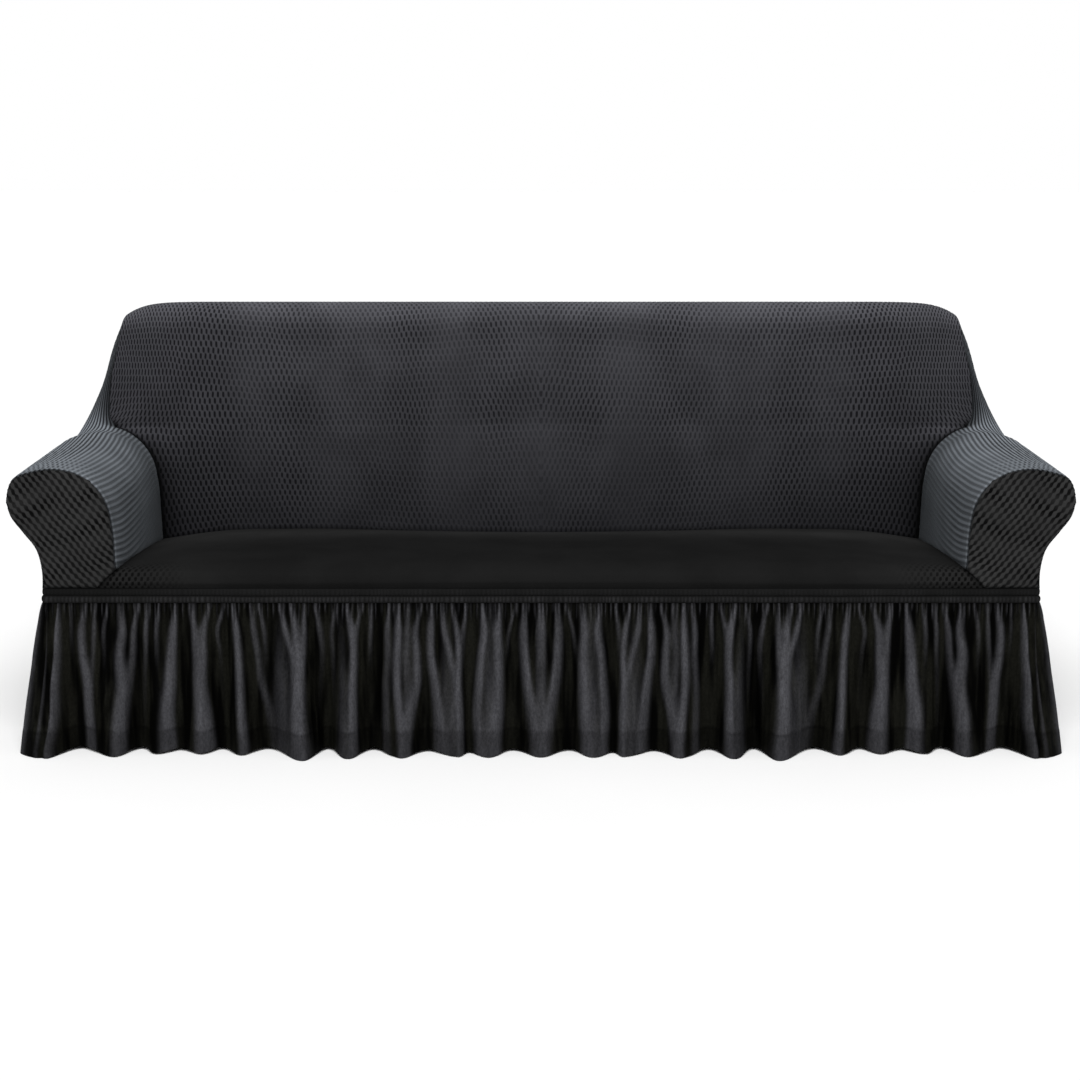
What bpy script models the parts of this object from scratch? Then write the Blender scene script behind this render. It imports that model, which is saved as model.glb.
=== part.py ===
"""Sofa slipcover: stretch knit panels over two rolled arms, a back and a seat, with a shirred waistband
and a gathered skirt.

Metres, +Z up. The floor is z = 0, x runs along the length, the front faces -y, and x = 0 is the middle.
Every piece is a surface of two parameters u and v from 0 to 1, laid on a grid and given its thickness.
"""

import math
from collections import namedtuple

import bmesh
import bpy
import numpy as np

# Driving dimensions
WIDTH = 2.20  # over the two arm rolls
DEPTH = 0.86  # arm front to rear panel
HALF = WIDTH / 2
FRONT = -DEPTH / 2
REAR = DEPTH / 2
BASE_HALF = 1.032  # half the length of the waistband
BASE_CORNER = 0.010  # radius of the waistband's corners
BAND_TOP = 0.348
BAND_FOOT = 0.318
BAND_PUFF = 0.0045  # how far each shirred row stands out
SEAT_FLAP = 0.917  # half the length of the seat's edge on the waistband
FRONT_PADDING = 0.008  # how far the middle of an arm's front stands out
REAR_PADDING = 0.006  # the same for the rear panel

# Cloth
KNIT = 0.0016
ELASTIC = 0.0022
SKIRT_CLOTH = 0.0012
SEAM = 0.0003  # gap kept at each seam, shared by its two pieces
LAP = KNIT + SEAM  # how far a panel stops short of one that covers its edge
RIDGE_LAP = 0.0032  # the same along the ridge of the back, where the panels meet at a blunt angle
CORNER_GAP = 0.0007  # what each waistband and skirt length keeps clear at the corners

# Grid steps
ARM_ACROSS = 28
ARM_SIDE = 9  # of these, on each side of the arm's front panel
ARM_TOP = ARM_ACROSS - 2 * ARM_SIDE
ARM_ALONG = 5
CREASE_STEPS = 6
WING_STEPS = 8
ARM_ROWS = ARM_ALONG + CREASE_STEPS + WING_STEPS
BACK_ACROSS = 26
REAR_UP = 8
SEAT_ACROSS = 20
SEAT_ALONG = 10
LONG_BAND_STEPS = 12
SHORT_BAND_STEPS = 6
STEPS_PER_FOLD = 5
SKIRT_DOWN = 4
CORNER_STEPS = 2

# The arm's section from the seat crease over the roll to the waistband; inset is from the widest point.
Section = namedtuple("Section", "inset z")
ARM_SECTION = [
    Section(0.223, 0.341),
    Section(0.222, 0.410),
    Section(0.219, 0.475),
    Section(0.207, 0.530),
    Section(0.186, 0.563),
    Section(0.152, 0.588),
    Section(0.108, 0.599),
    Section(0.056, 0.594),
    Section(0.015, 0.577),
    Section(0.001, 0.541),
    Section(0.006, 0.503),
    Section(0.031, 0.466),
    Section(0.057, 0.430),
    Section(0.067, 0.388),
    Section(0.068, BAND_TOP),
]
CREASE_FRONT = 0.388  # height of the seat crease at the arm's front
CREASE_REAR = ARM_SECTION[0].z

# Where the back meets the arm: climb is the share of the arm's section below the crease.
Crease = namedtuple("Crease", "climb y middle_y middle_z")
CREASE = [
    Crease(0.000, 0.150, 0.150, 0.356),
    Crease(0.110, 0.160, 0.147, 0.415),
    Crease(0.200, 0.173, 0.153, 0.475),
    Crease(0.290, 0.184, 0.164, 0.535),
    Crease(0.355, 0.193, 0.173, 0.575),
    Crease(0.415, 0.202, 0.182, 0.606),
]

# The ridge between the back's face and its side, from the arm up to the rear corner.
Ridge = namedtuple("Ridge", "x y z middle_y middle_z")
RIDGE = [
    Ridge(0.998, 0.212, 0.645, 0.194, 0.652),
    Ridge(0.997, 0.227, 0.712, 0.213, 0.718),
    Ridge(0.984, 0.250, 0.776, 0.238, 0.786),
    Ridge(0.978, 0.275, 0.830, 0.264, 0.842),
    Ridge(0.973, 0.315, 0.854, 0.308, 0.872),
    Ridge(0.968, 0.368, 0.849, 0.368, 0.869),
    Ridge(0.962, 0.415, 0.823, 0.420, 0.840),
]
BACK_SQUARENESS = 14  # how late the back's face turns into its sides
BACK_EVENNESS = 0.65  # 1 spaces the back's columns evenly, less crowds them at its sides
BACK_SETTLE = 0.3  # share of the back's height over which the line of the seat fades out

# The rear corner from the top down to the waistband.
Corner = namedtuple("Corner", "x y z")
REAR_CORNER = [
    Corner(0.962, 0.415, 0.823),
    Corner(0.989, 0.424, 0.783),
    Corner(1.001, 0.428, 0.722),
    Corner(1.014, REAR, 0.650),
    Corner(1.027, REAR, 0.570),
    Corner(1.031, REAR, 0.470),
    Corner(1.031, REAR, BAND_TOP),
]
WING_FOOT = 0.235  # where the wing starts on the waistband
WING_FADE_ACROSS = 0.70  # how late the arm's roll gives way to the rear corner, sideways
WING_FADE_UP = 1.15  # the same upwards
WING_WEB_ACROSS = 7.0  # how steeply the web climbs from the roll to the ridge, sideways
WING_WEB_UP = 3.5  # the same upwards

# The seat from the waistband over its front edge to the back: each row's middle, half length and ends.
SeatRow = namedtuple("SeatRow", "y z half end_z")
SEAT_ROWS = [
    SeatRow(FRONT, BAND_TOP, SEAT_FLAP, BAND_TOP),
    SeatRow(FRONT - 0.002, 0.366, 0.897, 0.367),
    SeatRow(-0.426, 0.382, 0.8775, 0.384),
    SeatRow(-0.405, 0.393, 0.8775, 0.386),
    SeatRow(-0.350, 0.399, 0.8775, 0.383),
    SeatRow(-0.200, 0.398, 0.8775, 0.373),
    SeatRow(0.000, 0.384, 0.877, 0.356),
    SeatRow(0.150, 0.356, 0.877, CREASE_REAR),
]
SEAT_SQUARENESS = 5
SEAT_SETTLE = 0.45  # share of the seat's length from which it turns towards the line of the back
ARM_FRONT_BEND = 0.25  # share of the arm front's foot that runs down beside the seat's edge

# The two-lobed line where the seat meets the back, from the middle outwards.
SeatRear = namedtuple("SeatRear", "x z")
SEAT_REAR = [
    SeatRear(0.000, 0.355),
    SeatRear(0.280, 0.360),
    SeatRear(0.560, 0.365),
    SeatRear(0.750, 0.359),
    SeatRear(0.877, CREASE_REAR),
]

# The waistband's section from its top down, in shares of its height and puff: two shirred rows and a groove.
Puff = namedtuple("Puff", "drop out")
BAND_SECTION = [
    Puff(0.00, 0.0),
    Puff(0.16, 0.8),
    Puff(0.36, 0.9),
    Puff(0.50, 0.1),
    Puff(0.64, 0.9),
    Puff(0.84, 0.8),
    Puff(1.00, 0.1),
]

# Folds of the skirt at its hem, from the middle of a side outwards: where each crest and the valley after
# it lie along the side, and how far they stand out from the waistband.
Fold = namedtuple("Fold", "crest crest_out valley valley_out")
LONG_FOLDS = [
    Fold(0.000, 0.048, 0.059, 0.006),
    Fold(0.110, 0.050, 0.150, 0.022),
    Fold(0.172, 0.046, 0.236, 0.010),
    Fold(0.292, 0.054, 0.352, 0.000),
    Fold(0.402, 0.060, 0.447, -0.004),
    Fold(0.491, 0.072, 0.572, -0.006),
    Fold(0.627, 0.036, 0.669, -0.004),
    Fold(0.710, 0.028, 0.759, 0.002),
    Fold(0.804, 0.030, 0.838, -0.008),
    Fold(0.889, 0.047, 0.966, -0.010),
]
SHORT_FOLDS = [
    Fold(0.000, 0.040, 0.050, -0.004),
    Fold(0.098, 0.052, 0.146, 0.004),
    Fold(0.186, 0.036, 0.238, -0.006),
    Fold(0.292, 0.056, 0.362, -0.002),
]
CORNER_OUT = 0.060  # how far the hem stands out at each corner
FLARE = 0.024  # how far the whole hem stands out, without its folds
FLARE_EASE = 0.70  # below 1 the skirt spreads mostly near the waistband
FOLD_EASE = 0.95
SKIRT_START = 0.0005  # how far the skirt stands out where it is sewn under the waistband
VALLEY_LIFT = 0.007  # the hem's rise in its deepest valleys

# Colour and roughness of each cloth
Finish = namedtuple("Finish", "colour roughness")
HONEYCOMB = Finish((0.027, 0.027, 0.030, 1.0), 0.85)
SMOOTH = Finish((0.011, 0.011, 0.011, 1.0), 0.75)
SHIRRED = Finish((0.010, 0.010, 0.011, 1.0), 0.80)
GATHERED = Finish((0.014, 0.014, 0.015, 1.0), 0.70)

SIDES = ("front", "right", "back", "left")


def clear_scene():
    for old in list(bpy.data.objects):
        bpy.data.objects.remove(old, do_unlink=True)


def join(*coordinates):
    return np.stack(np.broadcast_arrays(*coordinates), axis=-1)


def share_of(value, start, stop):
    return np.clip((value - start) / (stop - start), 0, 1)


def smooth_through(table, where, at):
    """Cubic curve through the table's rows, which lie at `where`, read at `at`."""
    table = np.array(table, dtype=float)
    slopes = np.gradient(table, where, axis=0)
    at = np.clip(np.asarray(at, dtype=float), where[0], where[-1])
    row = np.clip(np.searchsorted(where, at, side="right") - 1, 0, len(where) - 2)
    span = (where[row + 1] - where[row])[..., None]
    f = (at - where[row])[..., None] / span
    return (
        (2 * f**3 - 3 * f**2 + 1) * table[row]
        + (f**3 - 2 * f**2 + f) * slopes[row] * span
        + (3 * f**2 - 2 * f**3) * table[row + 1]
        + (f**3 - f**2) * slopes[row + 1] * span
    )


def along_line(rows, at):
    """Points at shares `at` of the length of the curve through the rows."""
    steps = np.linalg.norm(np.diff(np.array(rows), axis=0), axis=1)
    reach = np.concatenate(([0.0], np.cumsum(steps))) / steps.sum()
    return smooth_through(rows, reach, at)


def along_rows(rows, at):
    """Values between the rows of a table, which are evenly spaced from 0 to 1."""
    return smooth_through(rows, np.linspace(0.0, 1.0, len(rows)), at)


def columns(values):
    return np.moveaxis(values, -1, 0)


def coons(low, high, left, right, u, v):
    """Patch between four edge curves, each a function from 0 to 1 along u or v."""
    u1, v1 = u[..., None], v[..., None]
    zero, one = np.zeros_like(u), np.ones_like(u)
    across = (1 - v1) * low(u) + v1 * high(u)
    along = (1 - u1) * left(v) + u1 * right(v)
    low_corners = (1 - u1) * low(zero) + u1 * low(one)
    high_corners = (1 - u1) * high(zero) + u1 * high(one)
    return across + along - (1 - v1) * low_corners - v1 * high_corners


def padded(u, v):
    """1 in the middle of a panel, falling to 0 at its edges."""
    return 4 * np.sqrt(u * (1 - u) * v * (1 - v))


def arm_section(share):
    """x and z on the right arm's section, from the seat crease to the waistband."""
    inset, z = columns(along_line(ARM_SECTION, share))
    return HALF - inset, z


def front_start():
    """Share of the arm's section that lies below the seat crease at the arm's front."""
    length = np.linalg.norm(np.diff(np.array(ARM_SECTION), axis=0), axis=1).sum()
    return (CREASE_FRONT - CREASE_REAR) / length


def back_rows(rise):
    """Side x, y, z and middle y, z of the back: rise is 0 at the seat, 0.5 on the arm, 1 at the rear seam."""
    crease = along_rows(CREASE, 2 * rise)
    x, z = arm_section(crease[..., 0])
    low = join(x, crease[..., 1], z, crease[..., 2], crease[..., 3])
    turn = CREASE[-1]
    turn_x, turn_z = arm_section(turn.climb)
    first = Ridge(float(turn_x), turn.y, float(turn_z), turn.middle_y, turn.middle_z)
    high = along_rows([first] + RIDGE, 2 * rise - 1)
    return np.where((rise < 0.5)[..., None], low, high)


def seat_rear(x):
    """Height of the line where the seat meets the back."""
    table = np.array(SEAT_REAR)
    return smooth_through(table[:, 1:], table[:, 0], np.abs(x))[..., 0]


def back_surface(u, v):
    """Inside back: u runs from left to right, v from the seat over the top to the rear seam."""
    side = 2 * u - 1
    side = BACK_EVENNESS * side + (1 - BACK_EVENNESS) * np.sin(side * math.pi / 2)
    turn = CREASE_STEPS / (CREASE_STEPS + WING_STEPS)
    rise = 0.5 * share_of(v, 0, turn) + 0.5 * share_of(v, turn, 1)
    half, side_y, side_z, middle_y, middle_z = columns(back_rows(rise))
    belly = 1 - np.abs(side) ** BACK_SQUARENESS
    x = side * half
    y = side_y + (middle_y - side_y) * belly
    z = side_z + (middle_z - side_z) * belly
    first_row = CREASE_REAR + (CREASE[0].middle_z - CREASE_REAR) * belly
    near_seat = (1 - share_of(v, 0, BACK_SETTLE)) ** 2
    return join(x, y, z + (seat_rear(x) - first_row) * near_seat)


def arm_surface(u, v):
    """Right arm: u runs over the arm from seat to waistband, v from the arm's front to the rear corner."""
    behind_seat = ARM_ALONG / ARM_ROWS
    wing = (ARM_ALONG + CREASE_STEPS) / ARM_ROWS
    run = share_of(v, 0, behind_seat)
    climb = share_of(v, behind_seat, wing)
    crease = along_rows(CREASE, climb)
    start = np.where(v < behind_seat, front_start() * (1 - run), crease[..., 0])
    x, z = arm_section(start + (1 - start) * u)
    inner_y = np.where(v < behind_seat, FRONT + (CREASE[0].y - FRONT) * run, crease[..., 1])
    slant = (WING_FOOT - CREASE[-1].y) * climb
    arm = join(x, inner_y + slant * u, z)
    return np.where((v < wing)[..., None], arm, wing_surface(u, share_of(v, wing, 1)))


def wing_surface(u, v):
    """The web from the arm's roll up the back's side, between the ridge, the rear corner and the waist."""
    start, top = CREASE[-1].climb, REAR_CORNER[0]
    roll_x, roll_z = arm_section(start + (1 - start) * u)
    start_x, start_z = arm_section(start)
    corner_x, corner_y, corner_z = columns(along_line(REAR_CORNER, u))
    ridge_x, ridge_y, ridge_z = columns(back_rows(0.5 + 0.5 * v)[..., :3])
    across, up = v**WING_FADE_ACROSS, v**WING_FADE_UP
    lift_x = ridge_x - start_x - (top.x - start_x) * across
    lift_z = ridge_z - start_z - (top.z - start_z) * up
    x = roll_x + (corner_x - roll_x) * across + lift_x * (1 - u) ** WING_WEB_ACROSS
    z = roll_z + (corner_z - roll_z) * up + lift_z * (1 - u) ** WING_WEB_UP
    waist_y = WING_FOOT + (REAR - WING_FOOT) * v
    bow = corner_y - top.y - (REAR - top.y) * u
    return join(x, ridge_y + (waist_y - ridge_y) * u + bow * v, z)


def arm_front_surface(u, v):
    """Right arm's front: u runs outwards, v upwards; its rim is the arm's section."""

    def rim(step):
        share = step / ARM_ACROSS
        x, z = arm_section(front_start() + (1 - front_start()) * share)
        return join(x, FRONT, z)

    def foot(share):
        inner_x = HALF - ARM_SECTION[0].inset
        down, out = share_of(share, 0, ARM_FRONT_BEND), share_of(share, ARM_FRONT_BEND, 1)
        x = inner_x + (SEAT_FLAP - inner_x) * down + (BASE_HALF - SEAT_FLAP) * out
        return join(x, FRONT, CREASE_FRONT + (BAND_TOP - CREASE_FRONT) * down)

    panel = coons(
        foot,
        lambda share: rim(ARM_SIDE + ARM_TOP * share),
        lambda share: rim(ARM_SIDE * share),
        lambda share: rim(ARM_ACROSS - ARM_SIDE * share),
        u,
        v,
    )
    panel[..., 1] -= FRONT_PADDING * padded(u, v)
    return panel


def outside_back_surface(u, v):
    """Rear panel: u runs from right to left, v upwards."""

    def corner(sign):
        return lambda share: along_line(REAR_CORNER, 1 - share) * np.array([sign, 1, 1])

    panel = coons(
        lambda share: join((1 - 2 * share) * REAR_CORNER[-1].x, REAR, BAND_TOP),
        lambda share: back_surface(1 - share, np.ones_like(share)),
        corner(1),
        corner(-1),
        u,
        v,
    )
    panel[..., 1] += REAR_PADDING * padded(u, v)
    return panel


def seat_surface(u, v):
    """Seat: u runs from left to right, v from the waistband over the front edge to the back."""
    y, z, half, end_z = columns(along_line(SEAT_ROWS, v))
    side = 2 * u - 1
    belly = 1 - np.abs(side) ** SEAT_SQUARENESS
    x = side * half
    last_row = CREASE_REAR + (SEAT_ROWS[-1].z - CREASE_REAR) * belly
    near_back = share_of(v, SEAT_SETTLE, 1) ** 2
    return join(x, y, end_z + (z - end_z) * belly + (seat_rear(x) - last_row) * near_back)


def side_sizes(quarter):
    """Half length of one side of the waistband, and its distance from the middle."""
    if quarter % 2 == 0:
        return BASE_HALF, -FRONT
    return -FRONT, BASE_HALF


def waist_line(u, quarter, steps):
    """One side of the waist with half of each corner: place along it, place out from the middle, normal."""
    half, reach = side_sizes(quarter)
    straight = steps / (steps + 2 * CORNER_STEPS)
    place = np.abs(2 * u - 1)
    turn = share_of(place, straight, 1) * math.pi / 4
    along = share_of(place, 0, straight) * (half - BASE_CORNER) + BASE_CORNER * np.sin(turn)
    out = reach - BASE_CORNER + BASE_CORNER * np.cos(turn)
    sign = np.sign(u - 0.5)
    return sign * along, out, sign * np.sin(turn), np.cos(turn)


def placed(along, out, z, quarter):
    """A point of one side, turned onto the front, right, back or left."""
    spots = ((along, -out), (out, along), (-along, out), (-out, -along))
    x, y = spots[quarter]
    return join(x, y, z)


def side_folds(quarter):
    return LONG_FOLDS if quarter % 2 == 0 else SHORT_FOLDS


def hem_out(along, quarter):
    """How far the hem stands out: soft waves through the crests, the valleys and the corner."""
    places, heights = [], []
    for fold in side_folds(quarter):
        places += [fold.crest, fold.valley]
        heights += [fold.crest_out, fold.valley_out]
    places.append(side_sizes(quarter)[0])
    heights = np.array(heights + [CORNER_OUT])
    order = np.interp(np.abs(along), places, np.arange(len(places)))
    first = np.clip(order.astype(int), 0, len(places) - 2)
    wave = (1 - np.cos(math.pi * (order - first))) / 2
    return heights[first] + (heights[first + 1] - heights[first]) * wave


def skirt_steps(quarter):
    return 2 * len(side_folds(quarter)) * STEPS_PER_FOLD


def skirt_surface(quarter):
    """One side of the skirt: u runs along it, v from the hem up to the waistband."""

    def surface(u, v):
        along, out, normal_along, normal_out = waist_line(u, quarter, skirt_steps(quarter))
        drop = 1 - v
        hem = hem_out(along, quarter)
        stand = SKIRT_START + (FLARE - SKIRT_START) * drop**FLARE_EASE + (hem - FLARE) * drop**FOLD_EASE
        lift = VALLEY_LIFT * share_of(hem, CORNER_OUT, 0) * drop
        z = (BAND_FOOT - SEAM) * v + lift
        return placed(along + stand * normal_along, out + stand * normal_out, z, quarter)

    return surface


def band_steps(quarter):
    return LONG_BAND_STEPS if quarter % 2 == 0 else SHORT_BAND_STEPS


def band_surface(quarter):
    """One side of the waistband: u runs along it, v from its foot to its top."""

    def surface(u, v):
        along, out, normal_along, normal_out = waist_line(u, quarter, band_steps(quarter))
        drop, puff = columns(along_rows(BAND_SECTION, 1 - v))
        stand = BAND_PUFF * puff
        z = BAND_TOP - (BAND_TOP - BAND_FOOT) * drop
        return placed(along + stand * normal_along, out + stand * normal_out, z, quarter)

    return surface


def arm_margin(v):
    """How far the arm stops short of the seat and back: a seam's share, and on the wing the ridge's lap."""
    wing_start = ARM_ALONG + CREASE_STEPS
    return SEAM / 2 + RIDGE_LAP * share_of(v * ARM_ROWS, wing_start, wing_start + 1)


def trimmed(surface, left=SEAM / 2, right=SEAM / 2, low=SEAM / 2, high=SEAM / 2):
    """The same surface stopped short of its four edges by these distances; left may vary with v."""
    small = 0.002

    def rate(first, second):
        return np.linalg.norm(first - second, axis=-1) / small

    def cut(u, v):
        zero, one = np.zeros_like(u), np.ones_like(u)
        margin = left(v) if callable(left) else left
        start = margin / rate(surface(zero + small, v), surface(zero, v))
        stop = right / rate(surface(one - small, v), surface(one, v))
        u = start + (1 - start - stop) * u
        start = low / rate(surface(u, zero + small), surface(u, zero))
        stop = high / rate(surface(u, one - small), surface(u, one))
        return surface(u, start + (1 - start - stop) * v)

    return cut


def mirrored(surface):
    """The left-hand twin of a surface, still facing outwards."""
    return lambda u, v: surface(1 - u, v) * np.array([-1.0, 1.0, 1.0])


def cloth(name, finish):
    material = bpy.data.materials.new(name)
    material.use_nodes = True
    shader = material.node_tree.nodes["Principled BSDF"]
    shader.inputs["Base Color"].default_value = finish.colour
    shader.inputs["Roughness"].default_value = finish.roughness
    shader.inputs["Metallic"].default_value = 0.0
    material.diffuse_color = finish.colour
    return material


def add_piece(parts, name, surface, steps, thickness, finish):
    """A grid laid on the surface and thickened towards the hollow."""
    grid = bmesh.new()
    bmesh.ops.create_grid(grid, x_segments=steps[0], y_segments=steps[1], size=0.5)
    flat = np.array([vertex.co for vertex in grid.verts])
    places = surface(np.clip(flat[:, 0] + 0.5, 0, 1), np.clip(flat[:, 1] + 0.5, 0, 1))
    for vertex, place in zip(grid.verts, places):
        vertex.co = place
    mesh = bpy.data.meshes.new(name)
    grid.to_mesh(mesh)
    grid.free()
    mesh.materials.append(cloth(name + "_cloth", finish))
    mesh.shade_smooth()
    piece = bpy.data.objects.new(name, mesh)
    parts.objects.link(piece)
    wall = piece.modifiers.new("Thickness", "SOLIDIFY")
    wall.thickness = thickness
    wall.offset = -1.0
    wall.use_rim = True


def add_back(parts):
    steps = (BACK_ACROSS, CREASE_STEPS + WING_STEPS)
    add_piece(parts, "inside_back", trimmed(back_surface, high=LAP), steps, KNIT, HONEYCOMB)
    rear = trimmed(outside_back_surface)
    add_piece(parts, "outside_back", rear, (BACK_ACROSS, REAR_UP), KNIT, HONEYCOMB)


def add_seat(parts):
    add_piece(parts, "seat", trimmed(seat_surface), (SEAT_ACROSS, SEAT_ALONG), KNIT, SMOOTH)


def add_arm(parts, side, hand):
    arm = trimmed(arm_surface, left=arm_margin, low=LAP, high=LAP)
    front = trimmed(arm_front_surface)
    add_piece(parts, "arm_" + side, hand(arm), (ARM_ACROSS, ARM_ROWS), KNIT, HONEYCOMB)
    add_piece(parts, "arm_front_" + side, hand(front), (ARM_TOP, ARM_SIDE), KNIT, HONEYCOMB)


def add_waist_and_skirt(parts, quarter, side):
    band = trimmed(band_surface(quarter), left=CORNER_GAP, right=CORNER_GAP)
    steps = (band_steps(quarter) + 2 * CORNER_STEPS, len(BAND_SECTION) - 1)
    add_piece(parts, "band_" + side, band, steps, ELASTIC, SHIRRED)
    skirt = trimmed(skirt_surface(quarter), left=CORNER_GAP, right=CORNER_GAP, low=0.0, high=0.0)
    steps = (skirt_steps(quarter) + 2 * CORNER_STEPS, SKIRT_DOWN)
    add_piece(parts, "skirt_" + side, skirt, steps, SKIRT_CLOTH, GATHERED)


def build():
    clear_scene()
    parts = bpy.data.collections.new("sofa_slipcover")
    bpy.context.scene.collection.children.link(parts)
    add_back(parts)
    add_seat(parts)
    add_arm(parts, "right", lambda surface: surface)
    add_arm(parts, "left", mirrored)
    for quarter, side in enumerate(SIDES):
        add_waist_and_skirt(parts, quarter, side)


build()
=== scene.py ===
import math

import bpy
import numpy as np
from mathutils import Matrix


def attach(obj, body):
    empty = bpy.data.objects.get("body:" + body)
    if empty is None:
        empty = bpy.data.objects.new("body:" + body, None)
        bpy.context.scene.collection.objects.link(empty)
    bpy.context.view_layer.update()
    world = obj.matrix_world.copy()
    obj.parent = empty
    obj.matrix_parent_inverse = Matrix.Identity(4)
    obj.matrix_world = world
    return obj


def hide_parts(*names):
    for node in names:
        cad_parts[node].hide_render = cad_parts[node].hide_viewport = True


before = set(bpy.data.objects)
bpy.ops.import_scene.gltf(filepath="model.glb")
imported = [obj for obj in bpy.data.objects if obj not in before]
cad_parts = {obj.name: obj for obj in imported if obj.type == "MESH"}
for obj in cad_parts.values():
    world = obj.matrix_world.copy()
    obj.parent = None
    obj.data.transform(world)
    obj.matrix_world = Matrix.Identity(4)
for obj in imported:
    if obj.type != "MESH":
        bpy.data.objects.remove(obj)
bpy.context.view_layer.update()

print("slipcover: frame loaded")

# Sofa slipcover. Metres, +Z up, the front faces -y, x = 0 is the middle.
# Each piece is a surface of u and v from 0 to 1: a fine outer face, a plain inner face and a rim.

cover = {
    "half": 1.10,          # from the middle to the widest point of an arm roll
    "front": -0.43,        # y of the waistband's front and rear
    "rear": 0.43,
    "baseHalf": 1.032,     # half the length of the waistband
    "baseCorner": 0.010,   # radius of its corners
    "bandTop": 0.348,      # heights of its two edges
    "bandFoot": 0.318,
    "seatFlap": 0.917,     # half the length of the seat's edge on the waistband
    "cell": 0.0116,        # width of a knit cell
    "course": 0.0146,      # height of a row of cells
    "knit": 0.0022,        # thickness of the panels
    "coarse": 4,           # steps of a panel's outer face to one of its inner face
}


# ---- curves and grids

# value at `at` of the cubic through the rows, which lie at `where`: slopes come from the neighbouring rows
def smoothThrough(rows, where, at):
    rows = np.array(rows, dtype=float)
    slopes = np.gradient(rows, where, axis=0)
    at = np.clip(np.asarray(at, dtype=float), where[0], where[-1])
    row = np.clip(np.searchsorted(where, at, side="right") - 1, 0, len(where) - 2)
    span = (where[row + 1] - where[row])[..., None]
    f = (at - where[row])[..., None] / span
    return (
        (2 * f**3 - 3 * f**2 + 1) * rows[row]
        + (f**3 - 2 * f**2 + f) * slopes[row] * span
        + (3 * f**2 - 2 * f**3) * rows[row + 1]
        + (f**3 - f**2) * slopes[row + 1] * span
    )


# the same, with `at` as a share of the line's length
def alongLine(rows, at):
    steps = np.linalg.norm(np.diff(np.array(rows), axis=0), axis=1)
    reach = np.concatenate(([0.0], np.cumsum(steps))) / steps.sum()
    return smoothThrough(rows, reach, at)


# the same, with the rows spaced evenly from 0 to 1
def alongRows(rows, at):
    return smoothThrough(rows, np.linspace(0.0, 1.0, len(rows)), at)


# separate numbers to points, and back
def join(*parts):
    return np.stack(np.broadcast_arrays(*parts), axis=-1)


def split(values):
    return np.moveaxis(values, -1, 0)


# 0 up to start, 1 from stop on, straight between
def ramp(value, start, stop):
    return np.clip((value - start) / (stop - start), 0, 1)


# the same with soft ends: 3f^2 - 2f^3
def ease(value, start, stop):
    f = ramp(value, start, stop)
    return f * f * (3 - 2 * f)


# u and v on a grid of so many steps each way
def gridOf(columns, rows):
    return np.meshgrid(np.linspace(0, 1, columns + 1), np.linspace(0, 1, rows + 1), indexing="ij")


# sum of four slow sine waves of x and y, from -1 to 1, the same each run
def drift(x, y, size, seed):
    random = np.random.default_rng(seed)
    total = np.zeros(np.broadcast(x, y).shape)
    for share in (1.0, 0.7, 0.5, 0.35):
        angle, phase = random.uniform(0, 2 * math.pi, 2)
        place = (x * math.cos(angle) + y * math.sin(angle)) / (size * (0.5 + share))
        total = total + share * np.sin(place * 2 * math.pi + phase)
    return total / 2.55      # the four shares added up


# the value with such drifts added, each of its own strength, size and seed
def wandered(value, drifts, x, y):
    for strength, size, seed in drifts:
        value = value + strength * drift(x, y, size, seed)
    return value


# patch between four edge curves, by Coons: the two ruled sheets added, less the one through the corners
def coons(low, high, left, right, u, v):
    u1, v1 = u[..., None], v[..., None]
    zero, one = np.zeros_like(u), np.ones_like(u)
    across = (1 - v1) * low(u) + v1 * high(u)
    along = (1 - u1) * left(v) + u1 * right(v)
    lowEnds = (1 - u1) * low(zero) + u1 * low(one)
    highEnds = (1 - u1) * high(zero) + u1 * high(one)
    return across + along - (1 - v1) * lowEnds - v1 * highEnds


# unit normal of a grid of points: the cross product of its two directions
def normalsOf(points):
    normal = np.cross(np.gradient(points, axis=0), np.gradient(points, axis=1))
    return normal / np.maximum(np.linalg.norm(normal, axis=-1, keepdims=True), 1e-12)


# length along the grid lines from the first edge, along axis 0 or 1
def reachAlong(points, axis):
    steps = np.linalg.norm(np.diff(points, axis=axis), axis=-1)
    start = np.zeros_like(np.take(steps, [0], axis=axis))
    return np.concatenate((start, np.cumsum(steps, axis=axis)), axis=axis)


# distance of each point from the four edges: u = 0, u = 1, v = 0, v = 1
def edgesOf(points):
    across, up = reachAlong(points, 0), reachAlong(points, 1)
    return across, across[-1:, :] - across, up, up[:, -1:] - up


# 1 on an edge, falling off as a bell of this width
def nearEdge(distance, width):
    return np.exp(-((distance / width) ** 2))


# the tone darkened by each mask, as strongly as the piece's own table says
def darkened(tone, piece, **masks):
    for name, mask in masks.items():
        tone = tone * (1 - piece["darker"][name] * mask)
    return tone


# ---- cloth from grids

# 1 in a knit cell's hollow, 0 on the ridges: two diagonal cosine waves over staggered cells, one the stronger
def hollows(a, b, knit):
    lean, start, stop = knit
    wave = lean * np.cos(2 * math.pi * (a - b / 2)) + (1 - lean) * np.cos(2 * math.pi * (a + b / 2))
    return ease(wave, start, stop)


# quads of a grid whose first point has this number
def gridFaces(columns, rows, first, flip):
    index = first + np.arange((columns + 1) * (rows + 1)).reshape(columns + 1, rows + 1)
    corners = [index[:-1, :-1], index[1:, :-1], index[1:, 1:], index[:-1, 1:]]
    if flip:
        corners = corners[::-1]
    return index, np.stack([c.ravel() for c in corners], axis=1)


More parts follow.
